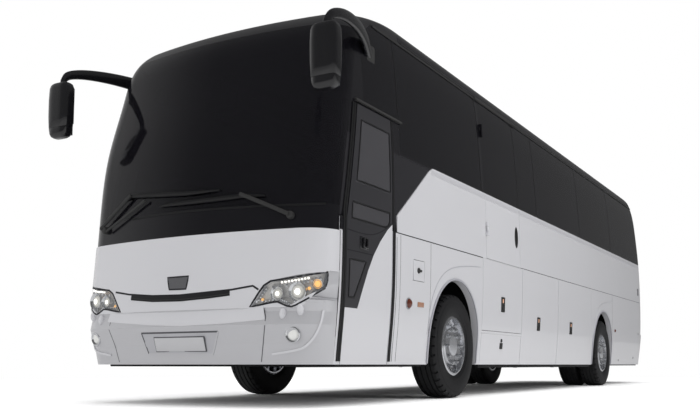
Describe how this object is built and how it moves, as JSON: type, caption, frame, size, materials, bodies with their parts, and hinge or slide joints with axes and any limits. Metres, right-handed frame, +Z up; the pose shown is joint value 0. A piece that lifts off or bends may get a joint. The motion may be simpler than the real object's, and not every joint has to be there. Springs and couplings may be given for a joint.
{
  "type": "coach bus",
  "caption": "Full-size two-axle passenger coach with steered front wheels, twin rear wheels, passenger and emergency doors and luggage flaps.",
  "frame": {"origin": "middle of the vehicle on the ground", "axes": "+Z up, -Y towards the nose, +X towards the door side (the vehicle's left)"},
  "size_m": [3.08, 12.095, 3.73],
  "materials": {
    "white_paint": "gloss",
    "black_gloss": "gloss",
    "dark_paint": "satin",
    "tinted_glass": "gloss",
    "lamp_glass": "gloss",
    "red_lens": "gloss",
    "amber_lens": "gloss",
    "black_plastic": "matte",
    "tyre_rubber": "matte",
    "rim_steel": "polished",
    "chassis_steel": "satin",
    "axle_iron": "matte",
    "floor_covering": "matte",
    "seat_fabric": "matte",
    "grey_plastic": "matte",
    "bright_steel": "satin"
  },
  "bodies": {
    "body": {"roof_panel": "black_gloss", "roof_front_cap": "black_gloss", "left_upper_wall": "black_gloss", "right_upper_wall": "black_gloss", "left_lower_wall": "white_paint", "right_lower_wall": "white_paint", "front_mask": "white_paint", "scuttle_panel": "black_gloss", "front_bumper": "white_paint", "windscreen": "tinted_glass", "rear_wall": "white_paint", "rear_bumper": "white_paint", "fixed_windows": "tinted_glass", "waist_skins": "white_paint", "passenger_floor": "floor_covering", "hold_floor": "floor_covering", "chassis_frame": "chassis_steel", "engine_block": "axle_iron", "wheelhouses": "black_plastic", "front_axle": "axle_iron", "rear_axle": "axle_iron", "air_springs": "black_plastic", "dashboard": "black_plastic", "steering_wheel": "black_plastic", "driver_seat": "seat_fabric", "passenger_seats": "seat_fabric", "luggage_racks": "grey_plastic", "headlamps": "lamp_glass", "tail_lamps": "red_lens", "marker_lamps": "amber_lens", "mirrors": "white_paint", "wipers": "black_plastic", "roof_unit": "white_paint", "roof_hatches": "grey_plastic", "fuel_tank": "bright_steel", "exhaust": "bright_steel"},
    "steer_left": {"knuckle_left": "axle_iron"},
    "steer_right": {"knuckle_right": "axle_iron"},
    "track_rod": {"track_rod": "axle_iron"},
    "wheel_front_left": {"tyre_front_left": "tyre_rubber", "rim_front_left": "rim_steel"},
    "wheels_rear_left": {"tyres_rear_left": "tyre_rubber", "rims_rear_left": "rim_steel"},
    "wheel_front_right": {"tyre_front_right": "tyre_rubber", "rim_front_right": "rim_steel"},
    "wheels_rear_right": {"tyres_rear_right": "tyre_rubber", "rims_rear_right": "rim_steel"},
    "door_arms": {"door_arms": "chassis_steel"},
    "door_leaf": {"door_leaf": "dark_paint", "door_glass": "tinted_glass"},
    "locker_door": {"locker_door": "white_paint"},
    "lower_flap": {"lower_flap": "white_paint"},
    "luggage_door_left_front": {"luggage_door_left_front": "white_paint"},
    "luggage_door_left_rear": {"luggage_door_left_rear": "white_paint"},
    "luggage_door_right_front": {"luggage_door_right_front": "white_paint"},
    "luggage_door_right_rear": {"luggage_door_right_rear": "white_paint"},
    "emergency_door": {"emergency_door": "white_paint", "emergency_door_glass": "tinted_glass"},
    "engine_door": {"engine_door": "white_paint"},
    "fuel_flap": {"fuel_flap": "white_paint"}
  },
  "joints": [
    {"name": "steering_left", "type": "hinge", "parent": "body", "child": "steer_left", "pos_m": [0.915, -3.18, 0.522], "axis": [0, 0, 1], "range_deg": [-38, 38]},
    {"name": "steering_right", "type": "hinge", "parent": "body", "child": "steer_right", "pos_m": [-0.915, -3.18, 0.522], "axis": [0, 0, 1], "range_deg": [-38, 38]},
    {"name": "track_rod_turn", "type": "hinge", "parent": "steer_left", "child": "track_rod", "pos_m": [0.915, -3.01, 0.404], "axis": [0, 0, 1], "range_deg": [-38, 38]},
    {"name": "wheel_front_left_spin", "type": "hinge", "parent": "steer_left", "child": "wheel_front_left", "pos_m": [1.105, -3.18, 0.522], "axis": [1, 0, 0], "continuous": true},
    {"name": "wheels_rear_left_spin", "type": "hinge", "parent": "body", "child": "wheels_rear_left", "pos_m": [1.105, 2.9, 0.522], "axis": [1, 0, 0], "continuous": true},
    {"name": "wheel_front_right_spin", "type": "hinge", "parent": "steer_right", "child": "wheel_front_right", "pos_m": [-1.105, -3.18, 0.522], "axis": [1, 0, 0], "continuous": true},
    {"name": "wheels_rear_right_spin", "type": "hinge", "parent": "body", "child": "wheels_rear_right", "pos_m": [-1.105, 2.9, 0.522], "axis": [1, 0, 0], "continuous": true},
    {"name": "door_swing", "type": "hinge", "parent": "body", "child": "door_arms", "pos_m": [1.13, -5.22, 1], "axis": [0, 0, -1], "range_deg": [0, 115]},
    {"name": "door_leaf_turn", "type": "hinge", "parent": "door_arms", "child": "door_leaf", "pos_m": [1.13, -4.68, 1], "axis": [0, 0, -1], "range_deg": [-115, 0]},
    {"name": "locker_door_hinge", "type": "hinge", "parent": "body", "child": "locker_door", "pos_m": [1.27198, -2.446, 1.4955], "axis": [0, -1, 0], "range_deg": [0, 88]},
    {"name": "lower_flap_hinge", "type": "hinge", "parent": "body", "child": "lower_flap", "pos_m": [1.23896, -2.446, 0.6795], "axis": [0, -1, 0], "range_deg": [0, 75]},
    {"name": "luggage_door_left_front_hinge", "type": "hinge", "parent": "body", "child": "luggage_door_left_front", "pos_m": [1.27198, -1.13, 1.4955], "axis": [0, -1, 0], "range_deg": [0, 88]},
    {"name": "luggage_door_left_rear_hinge", "type": "hinge", "parent": "body", "child": "luggage_door_left_rear", "pos_m": [1.27198, 0.39, 1.4955], "axis": [0, -1, 0], "range_deg": [0, 88]},
    {"name": "luggage_door_right_front_hinge", "type": "hinge", "parent": "body", "child": "luggage_door_right_front", "pos_m": [-1.27198, -1.13, 1.4955], "axis": [0, 1, 0], "range_deg": [0, 88]},
    {"name": "luggage_door_right_rear_hinge", "type": "hinge", "parent": "body", "child": "luggage_door_right_rear", "pos_m": [-1.27198, 0.39, 1.4955], "axis": [0, 1, 0], "range_deg": [0, 88]},
    {"name": "emergency_door_hinge", "type": "hinge", "parent": "body", "child": "emergency_door", "pos_m": [1.30624, -2.344, 1.60482], "axis": [0.0508, 0, -0.9987], "range_deg": [0, 100]},
    {"name": "engine_door_hinge", "type": "hinge", "parent": "body", "child": "engine_door", "pos_m": [0, 6.037, 1.6955], "axis": [1, 0, 0], "range_deg": [0, 75]},
    {"name": "fuel_flap_hinge", "type": "hinge", "parent": "body", "child": "fuel_flap", "pos_m": [1.27263, -4.1955, 1.1985], "axis": [0, 0, -1], "range_deg": [0, 100]}
  ],
  "couplings": [
    {"joint": "steering_right", "follows": "steering_left", "ratio": 1},
    {"joint": "track_rod_turn", "follows": "steering_left", "ratio": -1},
    {"joint": "door_leaf_turn", "follows": "door_swing", "ratio": -1}
  ]
}
